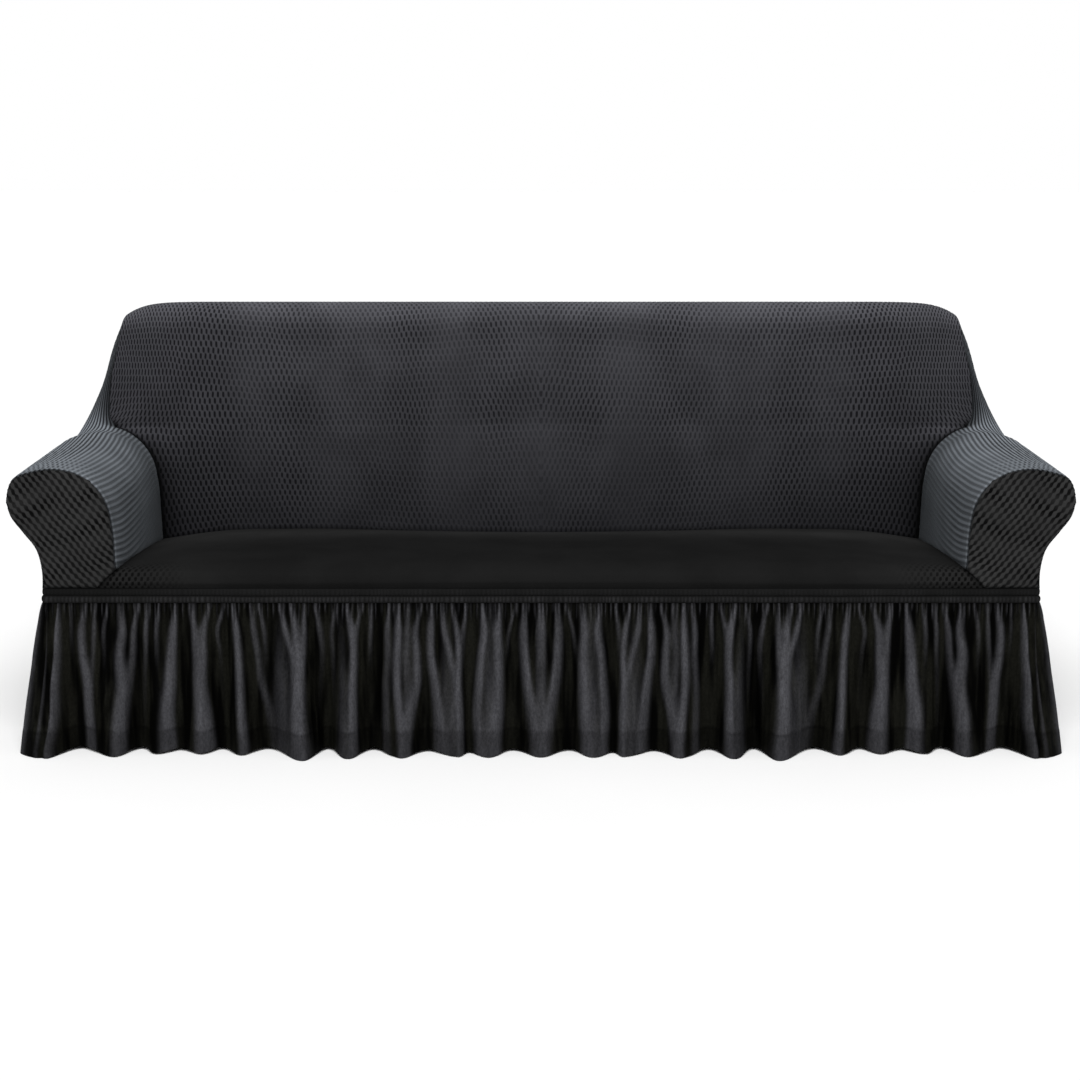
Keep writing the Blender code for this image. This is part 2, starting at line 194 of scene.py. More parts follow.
# strip between a fine edge and a coarse one: fans of triangles on the coarse points
def rimFaces(fine, coarse):
    count = len(coarse) - 1
    step = (len(fine) - 1) // count
    middle = (step + 1) // 2
    place = np.arange(count * step)
    tip = coarse[place // step + (place % step >= middle)]
    fans = np.stack([fine[1:], fine[:-1], tip], axis=1)
    fills = np.stack([fine[middle::step][:count], coarse[:-1], coarse[1:]], axis=1)
    return np.concatenate((fans, fills))


# mesh with the cloth's own coordinates as its UV map and each set of values as an attribute
def meshFrom(name, points, faceLists, values, uv):
    mesh = bpy.data.meshes.new(name)
    mesh.vertices.add(len(points))
    mesh.vertices.foreach_set("co", points.astype(np.float32).ravel())
    corners = np.concatenate([faces.ravel() for faces in faceLists])
    sizes = np.concatenate([np.full(len(faces), faces.shape[1]) for faces in faceLists])
    mesh.loops.add(len(corners))
    mesh.loops.foreach_set("vertex_index", corners.astype(np.int32))
    mesh.polygons.add(len(sizes))
    mesh.polygons.foreach_set("loop_start", np.concatenate(([0], np.cumsum(sizes)[:-1])).astype(np.int32))
    mesh.update(calc_edges=True)
    layer = mesh.uv_layers.new(name="cloth")
    layer.uv.foreach_set("vector", uv[corners].astype(np.float32).ravel())
    for label, numbers in values.items():
        mesh.attributes.new(label, "FLOAT", "POINT").data.foreach_set("value", numbers.astype(np.float32))
    mesh.shade_smooth()
    mesh.set_sharp_from_angle(angle=math.radians(65))      # only the rims stay sharp
    return mesh


# a sheet: the outer face is the surface pushed in or out by the relief, the inner one is plain and coarser
def clothPiece(name, points, relief, uv, values, look, thickness=cover["knit"], step=cover["coarse"]):
    normal = normalsOf(points)
    outer = points + relief[..., None] * normal
    inner = (points - thickness * normal)[::step, ::step]
    columns, rows = points.shape[0] - 1, points.shape[1] - 1
    outerIndex, outerFaces = gridFaces(columns, rows, 0, False)
    innerIndex, innerFaces = gridFaces(columns // step, rows // step, outerIndex.size, True)
    rims = [
        rimFaces(outerIndex[:, 0], innerIndex[:, 0]),
        rimFaces(outerIndex[-1, :], innerIndex[-1, :]),
        rimFaces(outerIndex[::-1, -1], innerIndex[::-1, -1]),
        rimFaces(outerIndex[0, ::-1], innerIndex[0, ::-1]),
    ]

    def both(numbers, tail=()):
        return np.concatenate((numbers.reshape(-1, *tail), numbers[::step, ::step].reshape(-1, *tail)))

    values = {label: both(numbers) for label, numbers in values.items()}
    vertices = np.concatenate((outer.reshape(-1, 3), inner.reshape(-1, 3)))
    mesh = meshFrom(name, vertices, [outerFaces, innerFaces, *rims], values, both(uv, (2,)))
    mesh.materials.append(look)
    piece = bpy.data.objects.new(name, mesh)
    bpy.context.scene.collection.objects.link(piece)
    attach(piece, "root")
    triangles = 2 * (len(outerFaces) + len(innerFaces)) + sum(len(r) for r in rims)
    print("slipcover:", name, triangles, "triangles")
    return piece


# hides the part of the frame that a sheet stands for
def finishPiece(node):
    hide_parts(node)


# a stretched panel on the right side, and its mirror image on the left
def bothSides(name, node, points, relief, uv, values, look):
    mirrored = (points[::-1] * np.array([-1.0, 1.0, 1.0]), relief[::-1], uv[::-1])
    mirroredValues = {label: numbers[::-1] for label, numbers in values.items()}
    right = clothPiece(name + "_right", points, relief, uv, values, look)
    finishPiece(node + "_right")
    left = clothPiece(name + "_left", *mirrored, mirroredValues, look)
    finishPiece(node + "_left")


# ---- shader helpers

# a socket with arithmetic: each operator adds its Math node
class Wire:
    def __init__(self, tree, socket):
        self.tree = tree
        self.socket = socket

    def math(self, operation, *others, flip=False):
        node = self.tree.nodes.new("ShaderNodeMath")
        node.operation = operation
        terms = [self, *others]
        if flip:
            terms.reverse()
        for entry, term in zip(node.inputs, terms):
            if isinstance(term, Wire):
                self.tree.links.new(term.socket, entry)
            else:
                entry.default_value = term
        return Wire(self.tree, node.outputs[0])

    def __add__(self, other):
        return self.math("ADD", other)

    def __sub__(self, other):
        return self.math("SUBTRACT", other)

    def __mul__(self, other):
        return self.math("MULTIPLY", other)

    def __rsub__(self, other):
        return self.math("SUBTRACT", other, flip=True)

    __radd__ = __add__
    __rmul__ = __mul__

    def cos(self):
        return self.math("COSINE")


# a material or world, and the one way to add any other node: its kind, its settings, what its sockets hold
class Look:
    def __init__(self, owner, shader, settings):
        owner.use_nodes = True
        self.owner = owner
        self.tree = owner.node_tree
        self.shader = self.tree.nodes[shader]
        for socket, value in settings.items():
            self.shader.inputs[socket].default_value = value

    def node(self, kind, settings=None, sockets=None, output=0):
        node = self.tree.nodes.new(kind)
        for key, value in (settings or {}).items():
            setattr(node, key, value)
        for key, value in (sockets or {}).items():
            if isinstance(value, Wire):
                self.tree.links.new(value.socket, node.inputs[key])
            else:
                node.inputs[key].default_value = value
        return Wire(self.tree, node.outputs[output])

    def feed(self, socket, wire):
        self.tree.links.new(wire.socket, self.shader.inputs[socket])

    def value(self, name):
        return self.node("ShaderNodeAttribute", {"attribute_name": name}, output="Fac")

    def cloth(self):
        uv = self.node("ShaderNodeUVMap", {"uv_map": "cloth"})
        return (
            self.node("ShaderNodeSeparateXYZ", {}, {0: uv}, "X"),
            self.node("ShaderNodeSeparateXYZ", {}, {0: uv}, "Y"),
        )

    def noise(self, scale, detail, roughness=0.5, stretch=(1, 1, 1)):
        place = self.node("ShaderNodeTexCoord", output="Object")
        place = self.node("ShaderNodeMapping", {}, {"Vector": place, "Scale": stretch})
        sockets = {"Vector": place, "Scale": scale, "Detail": detail, "Roughness": roughness}
        return self.node("ShaderNodeTexNoise", {}, sockets, "Fac")

    # start up to low, stop from high on, with soft ends between them
    def range(self, wire, low, high, start=0.0, stop=1.0):
        sockets = {0: wire, 1: low, 2: high, 3: start, 4: stop}
        return self.node("ShaderNodeMapRange", {"interpolation_type": "SMOOTHSTEP"}, sockets)

    def mix(self, factor, first, second):
        return self.node("ShaderNodeMix", {"data_type": "RGBA"}, {0: factor, 6: first, 7: second}, 2)

    def scaled(self, colour, factor):
        return self.node("ShaderNodeVectorMath", {"operation": "SCALE"}, {0: colour, 3: factor})

    def bump(self, height, distance, strength):
        sockets = {"Height": height, "Distance": distance, "Strength": strength}
        return self.node("ShaderNodeBump", {}, sockets)


# even finish of a cloth; sheen is cool and soft, glint is its mirror share
def plainLook(name, roughness, sheen, glint):
    settings = {
        "Roughness": roughness,
        "Sheen Weight": sheen,
        "Sheen Roughness": 0.45,
        "Sheen Tint": (0.86, 0.93, 1.0, 1),
        "Specular IOR Level": glint,
    }
    return Look(bpy.data.materials.new(name), "Principled BSDF", settings)


# what the yarn itself adds to a knit
yarn = {
    "loops": (5, 7),        # to the width of a cell and the height of a row
    "loopShade": 0.10,      # how much lighter and darker they are
    "strandShade": 0.13,    # the same for the two strands of a rib
    "blotch": 9.0,          # scale of the noise for soft blotches
    "heights": (0.7, 0.12),    # shares of ridges and loops in the bump
    "bump": (0.0012, 0.6),  # its height and strength
}


# loops of the yarn: the product of two cosine waves
def yarnLoops(a, b):
    across, up = yarn["loops"]
    return (a * (2 * math.pi * across)).cos() * (b * (2 * math.pi * up)).cos()


# ridges and hollows of a knit in two colours, times its blotches, the shade of its yarn and its tone
def feedKnit(look, depth, ridge, hollow, spread, loops, shade):
    blotch = look.range(look.noise(yarn["blotch"], 3.0), 0.3, 0.7, 1 - spread, 1 + spread)
    colour = look.mix(depth, (*ridge, 1), (*hollow, 1))
    ridgeHeight, loopHeight = yarn["heights"]
    look.feed("Base Color", look.scaled(colour, look.value("tone") * blotch * shade))
    look.feed("Normal", look.bump((1 - depth) * ridgeHeight + loops * loopHeight, *yarn["bump"]))
    return look.owner


# honeycomb knit: hollows where two diagonal cosine waves over staggered cells add up
def knitLook(name, ridge, hollow, sheen, knit):
    look = plainLook(name, 0.9, sheen, 0.04)
    lean, start, stop = knit
    a, b = look.cloth()
    wave = ((a - b * 0.5) * (2 * math.pi)).cos() * lean + ((a + b * 0.5) * (2 * math.pi)).cos() * (1 - lean)
    dimple = look.range(wave, start, stop) * look.value("depth")
    loops = yarnLoops(a, b)
    return feedKnit(look, dimple, ridge, hollow, 0.12, loops, loops * yarn["loopShade"] + 1)


# ribbed knit: grooves along b, broken into cells where it is pulled open, two strands to a rib
def ribLook(name, ridge, hollow, sheen):
    look = plainLook(name, 0.85, sheen, 0.05)
    a, b = look.cloth()
    broken = look.value("open")
    wave = (a * (2 * math.pi)).cos() * ((b * math.pi).cos() * broken + (1 - broken))
    groove = look.range(wave, *ribGroove) * look.value("depth")
    loops = yarnLoops(a, b)
    shade = (a * (4 * math.pi)).cos() * yarn["strandShade"] + loops * yarn["loopShade"] + 1
    return feedKnit(look, groove, ridge, hollow, 0.10, loops, shade)


# shirred elastic: pleats in a fine thread texture; the grooves between pleats are darker than the crests,
# painted shade
def bandLook(name, crest, groove):
    look = plainLook(name, 0.8, 0.0, 0.08)
    threads = look.noise(500.0, 2.0, 0.6, (1, 1, 2))
    colour = look.mix(look.value("depth"), (*groove, 1), (*crest, 1))
    worn = look.range(threads, 0.3, 0.7, 0.75, 1.25)
    look.feed("Base Color", look.scaled(colour, look.value("tone") * worn))
    look.feed("Normal", look.bump(threads, 0.0006, 0.4))
    return look.owner


# painted shade: dark gaps between the skirt's gathers under the band
gathers = {
    "turn": 640,            # radians to a metre along the cloth
    "shift": 24,            # radians that noise shifts them by
    "heights": (0.266, 0.310),   # where they start to show, and where they are full
    "strength": 0.7,
}


# fine plain cloth: cool grey crests and near-black valleys with an olive cast, mixed by the folds as painted
# light and shade, and streaks up and down. The painted gaps are where the cosine of the place along the
# cloth, shifted by noise, is low
def skirtLook(name, crest, valley):
    look = plainLook(name, 0.7, 0.0, 0.015)
    fold = look.value("depth")
    threads = look.noise(240.0, 3.0, 0.75, (1, 1, 0.6))
    slub = look.noise(70.0, 3.0, 0.6, (1, 1, 0.12))
    streaks = look.noise(38.0, 2.0, 0.6, (1, 1, 0.10))
    worn = look.range(threads, 0.25, 0.75, 0.68, 1.32) * look.range(slub, 0.3, 0.7, 0.84, 1.16)
    deep = look.scaled(valley, look.range(streaks, 0.36, 0.64, 0.1, 1.9))
    colour = look.mix(look.range(fold + (slub - 0.5) * 0.12, 0.04, 0.98), deep, (*crest, 1))
    along, height = look.cloth()
    shift = look.noise(14.0, 2.0, 0.5, (1, 1, 0.1)) * gathers["shift"]
    gather = (along * gathers["turn"] + shift).cos()
    gaps = (1 - look.range(gather, -0.6, 0.5)) * look.range(height, *gathers["heights"]) * gathers["strength"]
    look.feed("Base Color", look.scaled(colour, look.value("tone") * worn * (1 - gaps)))
    look.feed("Normal", look.bump(threads + slub * 0.5, 0.0005, 0.35))
    return look.owner


# how much stronger one diagonal is, then the wave's height where a hollow starts and where it is deepest
panelKnit = (0.56, -0.08, 0.50)
frontKnit = (0.67, -0.28, 0.40)
ribGroove = (-0.4, 0.7)     # the same two heights for the grooves between ribs

looks = {
    "back": knitLook("charcoal_knit", (0.0265, 0.0265, 0.030), (0.0048, 0.0048, 0.0058), 0.06, panelKnit),
    # the arm's ridges and hollows are several times lighter than the back's: painted light from above on the
    # same charcoal knit
    "arm": ribLook("ribbed_knit", (0.082, 0.090, 0.100), (0.010, 0.011, 0.0125), 0.05),
    "front": knitLook("shaded_knit", (0.025, 0.025, 0.025), (0.0012, 0.0012, 0.0012), 0.02, frontKnit),
    "seat": knitLook("smooth_knit", (0.0078, 0.0078, 0.0078), (0.0012, 0.0012, 0.0012), 0.0, panelKnit),
    "band": bandLook("shirred_elastic", (0.018, 0.018, 0.019), (0.004, 0.004, 0.004)),
    "skirt": skirtLook("gathered_cloth", (0.042, 0.042, 0.0465), (0.0031, 0.0031, 0.0024)),
}
print("slipcover: materials made")


# ---- arms

arm = {
    # over the arm from the seat crease to the waistband: inset from the widest point, height
    "section": [
        (0.223, 0.341), (0.222, 0.410), (0.219, 0.475), (0.207, 0.530), (0.186, 0.563),
        (0.152, 0.588), (0.108, 0.599), (0.056, 0.594), (0.015, 0.577), (0.001, 0.541),
        (0.006, 0.503), (0.031, 0.466), (0.057, 0.430), (0.067, 0.388), (0.068, 0.348),
    ],
    "creaseFront": 0.388,   # height of the seat crease at the front
    # where the back meets the arm: share of the section below the crease, y, then y and z in the middle
    "crease": [
        (0.000, 0.150, 0.150, 0.356), (0.105, 0.141, 0.147, 0.415), (0.205, 0.138, 0.153, 0.475),
        (0.300, 0.141, 0.164, 0.535), (0.385, 0.152, 0.173, 0.575), (0.466, 0.179, 0.182, 0.606),
    ],
    # the rear corner from the top down: x, y, z
    "corner": [
        (0.962, 0.415, 0.818), (0.988, 0.424, 0.780), (1.001, 0.428, 0.722), (1.014, 0.430, 0.650),
        (1.027, 0.430, 0.570), (1.031, 0.430, 0.470), (1.031, 0.430, 0.348),
    ],
    "wingFoot": 0.235,      # where the wing starts on the waistband
    "fadeAcross": 0.70,     # how late the roll gives way to the rear corner, sideways and upwards
    "fadeUp": 1.15,
    "webAcross": 7.0,       # how steeply the web climbs to the ridge, sideways and upwards
    "webUp": 3.5,
    "behindSeat": 0.50,     # share of the rows beside the seat
    "ahead": 0.080,         # how far the upper rows run ahead of the crease
    "wing": 0.70,           # share at which the wing starts
    "ribs": (43, 22),       # for the whole section as it starts, and how many more by the square of the share
    # how many ribs lower they run, at even steps from the front to the rear corner
    "sag": (0, 1.0, 1.4, 1.4, 0.8, 0.0, 0.6, 2.5, 5.0),
    "wander": [(0.30, 0.33, 11)],    # of the ribs: how many, over which size, seed
    "dash": 0.0145,         # distance between the pulled cells at the outer top of the front seam
    "columns": 216,
    "rows": 200,
    "relief": 0.0011,
    "seam": 0.0030,         # how deep the seam round the front is drawn in
    "welt": (0.008, 0.003, 0.0008),  # ridge beside that seam: distance, width, height
    "shadow": (0.42, 0.13),          # of the back: strength, reach
    "darker": {"seam": 0.75, "crease": 0.93, "waist": 0.5, "dashes": 0.7, "wing": 0.64},
    "passes": 160,          # of evening out where the wing starts
    "evened": 0.08,         # how far either side of it
    "flat": (0.50, 0.86),
}

back = {
    # the ridge between the back's face and its side: x, y, z, then y and z in the middle
    "ridge": [
        (1.000, 0.203, 0.630, 0.193, 0.648), (0.997, 0.227, 0.712, 0.213, 0.718),
        (0.985, 0.250, 0.776, 0.238, 0.786), (0.979, 0.275, 0.827, 0.264, 0.842),
        (0.973, 0.315, 0.846, 0.308, 0.872), (0.968, 0.368, 0.842, 0.368, 0.869),
        (0.962, 0.415, 0.818, 0.420, 0.840),
    ],
    "square": (14, 30),     # how late the face turns into its sides, low and at the top
    "turn": 0.42,           # share of the rows beside the arms
    "settle": 0.3,          # share of the height over which the line of the seat fades out
    "columns": 680,
    "rows": 132,
    "relief": 0.0013,
    "narrow": 8,            # how many more cells there are for the narrower ones beside each wing
    # how far the cells and their rows wander: how many, over which size, seed
    "cellsWander": [(1.1, 0.60, 31), (0.20, 0.11, 32), (0.08, 0.045, 36)],
    "rowsWander": [(1.3, 0.70, 33), (0.20, 0.09, 35), (0.08, 0.05, 37)],
    "darker": {"sides": 0.98, "foot": 0.6},
    "flat": (1.70, 0.56),
}

seat = {
    # from the waistband over the front edge to the back: y, z, half length, height of the ends
    "rows": [
        (-0.430, 0.348, 0.917, 0.348), (-0.432, 0.366, 0.897, 0.367), (-0.426, 0.382, 0.8775, 0.384),
        (-0.405, 0.393, 0.8775, 0.386), (-0.350, 0.399, 0.8775, 0.383), (-0.200, 0.398, 0.8775, 0.373),
        (0.000, 0.384, 0.877, 0.356), (0.150, 0.356, 0.877, 0.341),
    ],
    "square": 5,
    "settle": 0.45,
    "tuck": 0.003,          # how far its ends reach under the arms
    # the two-lobed line where it meets the back, from the middle outwards: x, z
    "rear": [(0.000, 0.355), (0.280, 0.360), (0.560, 0.365), (0.750, 0.359), (0.877, 0.341)],
    "steps": (280, 100),
    "crowd": 0.25,          # how much closer the columns stand at the two ends
    "cells": 0.9,           # to one of the back's
    "relief": 0.0009,
    "stitches": 0.010,      # distance of their line from the lower edge
    "darker": {"sides": 0.6, "rear": 0.5, "foot": 0.35, "stitches": 0.25},
    "flat": (1.55, 0.52),
}


# x and z on the arm's section at a share of its length
def armSection(share):
    inset, z = split(alongLine(arm["section"], share))
    return cover["half"] - inset, z


# share of the section below the seat crease at the front
def frontStart():
    length = np.linalg.norm(np.diff(np.array(arm["section"]), axis=0), axis=1).sum()
    return (arm["creaseFront"] - arm["section"][0][1]) / length


# side x, y, z and middle y, z of the back: rise is 0 at the seat, 0.5 on the arm, 1 at the rear seam
def backRows(rise):
    crease = alongRows(arm["crease"], 2 * rise)
    x, z = armSection(crease[..., 0])
    low = join(x, crease[..., 1], z, crease[..., 2], crease[..., 3])
    climb, y, middleY, middleZ = arm["crease"][-1]
    turnX, turnZ = armSection(climb)
    first = (float(turnX), y, float(turnZ), middleY, middleZ)
    high = alongRows([first] + back["ridge"], 2 * rise - 1)
    return np.where((rise < 0.5)[..., None], low, high)


# height of the line where the seat meets the back
def seatRear(x):
    table = np.array(seat["rear"])
    return smoothThrough(table[:, 1:], table[:, 0], np.abs(x))[..., 0]


# share of the arm's section at u: it starts at the seat crease, then climbs with the crease beside the back
def armShare(u, v):
    run = ramp(v, 0, arm["behindSeat"])
    crease = alongRows(arm["crease"], ramp(v, arm["behindSeat"], arm["wing"]))
    start = np.where(v < arm["behindSeat"], frontStart() * (1 - run), crease[..., 0])
    return start + (1 - start) * u


# the arm's section carried from the front to the back, then the wing. Away from the crease the rows run ahead
# of it by ahead (1 - (1 - u)^6), the less the higher they climb, so that none folds over another
def armSurface(u, v):
    run = ramp(v, 0, arm["behindSeat"])
    climb = ramp(v, arm["behindSeat"], arm["wing"])
    crease = alongRows(arm["crease"], climb)
    x, z = armSection(armShare(u, v))
    ahead = arm["ahead"] * (1 - (1 - u) ** 6) * (1 - climb)
    slant = (arm["wingFoot"] - arm["crease"][-1][1]) * climb
    y = cover["front"] + (crease[..., 1] - ahead - cover["front"]) * run + slant * u
    beside = join(x, y, z)
    return np.where((v < arm["wing"])[..., None], beside, wingSurface(u, ramp(v, arm["wing"], 1)))


# roll + (corner - roll) v^fade + (ridge's lift) (1 - u)^web, for x and z; y runs straight from ridge to waist
def wingSurface(u, v):
    start, top = arm["crease"][-1][0], arm["corner"][0]
    rollX, rollZ = armSection(start + (1 - start) * u)
    startX, startZ = armSection(start)
    cornerX, cornerY, cornerZ = split(alongLine(arm["corner"], u))
    ridgeX, ridgeY, ridgeZ = split(backRows(0.5 + 0.5 * v)[..., :3])
    across, up = v ** arm["fadeAcross"], v ** arm["fadeUp"]
    liftX = ridgeX - startX - (top[0] - startX) * across
    liftZ = ridgeZ - startZ - (top[2] - startZ) * up
    x = rollX + (cornerX - rollX) * across + liftX * (1 - u) ** arm["webAcross"]
    z = rollZ + (cornerZ - rollZ) * up + liftZ * (1 - u) ** arm["webUp"]
    waistY = arm["wingFoot"] + (cover["rear"] - arm["wingFoot"]) * v
    bow = cornerY - top[1] - (cover["rear"] - top[1]) * u
    return join(x, ridgeY + (waistY - ridgeY) * u + bow * v, z)


# where the wing starts, each point moves towards the mean of its neighbours along v, many times over
def evened(points, u, v):
    across = ease(u, 0.0, 0.22) * (1 - ease(u, 0.9, 1.0))
    weight = 0.5 * (nearEdge(v - arm["wing"], arm["evened"]) * across)[:, 1:-1, None]
    for _ in range(arm["passes"]):
        mean = (points[:, :-2] + points[:, 2:]) / 2
        points[:, 1:-1] += weight * (mean - points[:, 1:-1])
    return points


# how much each point faces up, from 0 to 1
def facingUp(points):
    return np.clip(normalsOf(points)[..., 2], 0, 1)


# number of ribs up to a share s of the section: r s + m s^2, from s = 0.5 on at an even distance
def ribCount(share):
    ribs, more = arm["ribs"]
    return ribs * share + more * (share**2 - np.maximum(share - 0.5, 0) ** 2)


# grooves between ribs: a cosine wave of the rib count a, broken up by one of the rows b where ribs are pulled
# open
def makeArms():
    u, v = gridOf(arm["columns"], arm["rows"])
    points = armSurface(u, v)
    topUp = facingUp(points)[:, int(0.97 * arm["wing"] * arm["rows"])][:, None]
    points = evened(points, u, v)
    up = facingUp(points)
    # painted top light: the foot of the wing is painted as bright as the roll in front of it
    up = up + (topUp - up) * ease(v, 0.5, arm["wing"]) * (1 - ease(v, arm["wing"], 0.82))
    left, right, low, high = edgesOf(points)
    share = evened(armShare(u, v)[..., None], u, v)[..., 0]
    y = points[..., 1]
    sag = alongRows([[ribs] for ribs in arm["sag"]], ramp(y, cover["front"], cover["rear"]))[..., 0]
    a = wandered(ribCount(share) + sag, arm["wander"], share, y)
    b = low / cover["course"]

    # depth of the grooves: shallow low at the rear, deepest on the roll and the wing
    patch = np.clip(ease(share, 0.10, 0.38) + 0.9 * (1 - ease(low, 0.12, 0.45)), 0.1, 1)
    pulled = np.maximum(ease(share, 0.42, 0.55), ease(v, 0.62, 0.72))
    patch = patch * (0.70 + 0.50 * pulled + 0.12 * drift(low, left, 0.16, 12))
    # pulled open into cells behind the front seam and near the rear corner
    behindFront = (1 - ease(low, 0.05, 0.22)) * ease(u, 0.28, 0.45)
    broken = 0.15 + 0.50 * behindFront + 0.4 * ease(v, 0.74, 0.85)
    groove = ease(np.cos(2 * math.pi * a) * (broken * np.cos(math.pi * b) + 1 - broken), *ribGroove) * patch

    place, width, height = arm["welt"]
    seam = nearEdge(low, 0.0035)
    welt = nearEdge(low - place, width) * (1 - ease(u, 0.28, 0.40))
    dashes = nearEdge(low - 0.013, 0.005) * (0.5 + 0.5 * np.cos(2 * math.pi * left / arm["dash"]))
    dashes = dashes * ease(u, 0.43, 0.50) * (1 - ease(u, 0.66, 0.76))
    relief = height * welt - arm["relief"] * groove - arm["seam"] * seam - 0.001 * dashes
    relief = relief - 0.002 * nearEdge(right, 0.005) - 0.001 * nearEdge(high, 0.004)

    # painted shade in the crease beside seat and back, wider where the wing starts, then fading out
    wide = 0.85 * nearEdge(left, 0.032) * ease(v, 0.66, 0.71)
    crease = np.maximum(nearEdge(left, 0.0085), wide) * (1 - ease(v, 0.79, 0.90))
    tone = darkened(1.0, arm, seam=seam, crease=crease, waist=nearEdge(right, 0.008))
    # painted highlight: the welt beside the front seam is painted lighter
    tone = darkened(tone * (1 + 0.7 * welt), arm, dashes=dashes)
    # painted top light: lighter where the cloth faces up; painted shade: darker on the wing; also lighter
    # where the grooves are deeper
    tone = darkened(tone * (0.78 + 0.22 * patch) * (0.90 + 1.08 * up), arm, wing=ease(v, 0.70, 0.80))
    # shadow of the back behind, light on the foot of the arm in front
    creaseRows = np.array(arm["crease"])
    gap = np.interp(share, creaseRows[:, 0], creaseRows[:, 1]) - y
    strength, reach = arm["shadow"]
    shadow = strength * nearEdge(np.maximum(gap, 0), reach) * (1 - ease(share, 0.42, 0.50))
    front = 0.65 * (1 - ease(share, 0.12, 0.27)) * (1 - ease(y, -0.40, 0.10))
    values = {"tone": tone * (1 - shadow) * (1 + front), "depth": patch, "open": broken}
    bothSides("arm_cloth", "arm", points, relief, join(a, b), values, looks["arm"])


makeArms()


# ---- fronts of the arms

armFront = {
    "side": 9 / 28,         # share of the section along each side of the panel
    "bend": 0.25,           # share of the foot that runs down beside the seat's edge
    "padding": 0.008,
    "columns": 96,
    "rows": 108,
    # cells and rows of cells per metre to the side and upwards: they run down towards the seat
    "across": (64.6, -13.6),
    "along": (7.8, 81.0),
    # how far they wander: how many, over which size, seed
    "cellsWander": [(0.35, 0.10, 21)],
    "rowsWander": [(0.35, 0.08, 22)],
    "relief": 0.0014,
    "tone": 0.92,
    "darker": {"seam": 0.75, "foot": 0.6},
    "flat": (0.20, 0.24),
}


# Coons patch inside the rim of the arm's section, padded by 4 sqrt(u(1-u)v(1-v))
def armFrontSurface(u, v):
    side = armFront["side"]

    def rim(share):
        x, z = armSection(frontStart() + (1 - frontStart()) * share)
        return join(x, cover["front"], z)

    def foot(share):
        innerX = cover["half"] - arm["section"][0][0]
        down, out = ramp(share, 0, armFront["bend"]), ramp(share, armFront["bend"], 1)
        x = innerX + (cover["seatFlap"] - innerX) * down + (cover["baseHalf"] - cover["seatFlap"]) * out
        return join(x, cover["front"], arm["creaseFront"] + (cover["bandTop"] - arm["creaseFront"]) * down)

    points = coons(
        foot,
        lambda share: rim(side + (1 - 2 * side) * share),
        lambda share: rim(side * share),
        lambda share: rim(1 - side * share),
        u,
        v,
    )
    points[..., 1] -= armFront["padding"] * 4 * np.sqrt(u * (1 - u) * v * (1 - v))
    return points


# staggered hollows over cells and rows that run down towards the seat
def makeArmFronts():
    u, v = gridOf(armFront["columns"], armFront["rows"])
    points = armFrontSurface(u, v)
    left, right, low, high = edgesOf(points)
    x, z = points[..., 0], points[..., 2]
    a = wandered(armFront["across"][0] * x + armFront["across"][1] * z, armFront["cellsWander"], x, z)
    b = wandered(armFront["along"][0] * x + armFront["along"][1] * z, armFront["rowsWander"], x, z)
    patch = 0.82 + 0.24 * drift(x, z, 0.045, 23)
    seam = nearEdge(np.minimum(np.minimum(left, right), high), 0.0045)
    foot = nearEdge(low, 0.005)
    relief = -armFront["relief"] * hollows(a, b, frontKnit) * patch
    relief = relief - arm["seam"] * np.maximum(seam, 0.7 * foot)
    values = {"tone": darkened(armFront["tone"], armFront, seam=seam, foot=foot), "depth": patch}
    uv = join(a, b)
    bothSides("arm_front_cloth", "arm_front", points, relief, uv, values, looks["front"])


makeArmFronts()


# ---- inside back

# side x half, belly 1 - |side|^square between the side's y, z and the middle's; low down the rows follow the
# line of the seat, the less the higher, by (1 - v / settle)^2
def backSurface(u, v):
    side = 2 * u - 1
    rise = 0.5 * ramp(v, 0, back["turn"]) + 0.5 * ramp(v, back["turn"], 1)
    half, sideY, sideZ, middleY, middleZ = split(backRows(rise))
    belly = 1 - np.abs(side) ** np.interp(v, (0.75, 0.92), back["square"])
    x = side * half
    y = sideY + (middleY - sideY) * belly
    z = sideZ + (middleZ - sideZ) * belly
    foot = arm["section"][0][1]
    firstRow = foot + (arm["crease"][0][3] - foot) * belly
    nearSeat = (1 - ramp(v, 0, back["settle"])) ** 2
    return join(x, y, z + (seatRear(x) - firstRow) * nearSeat)


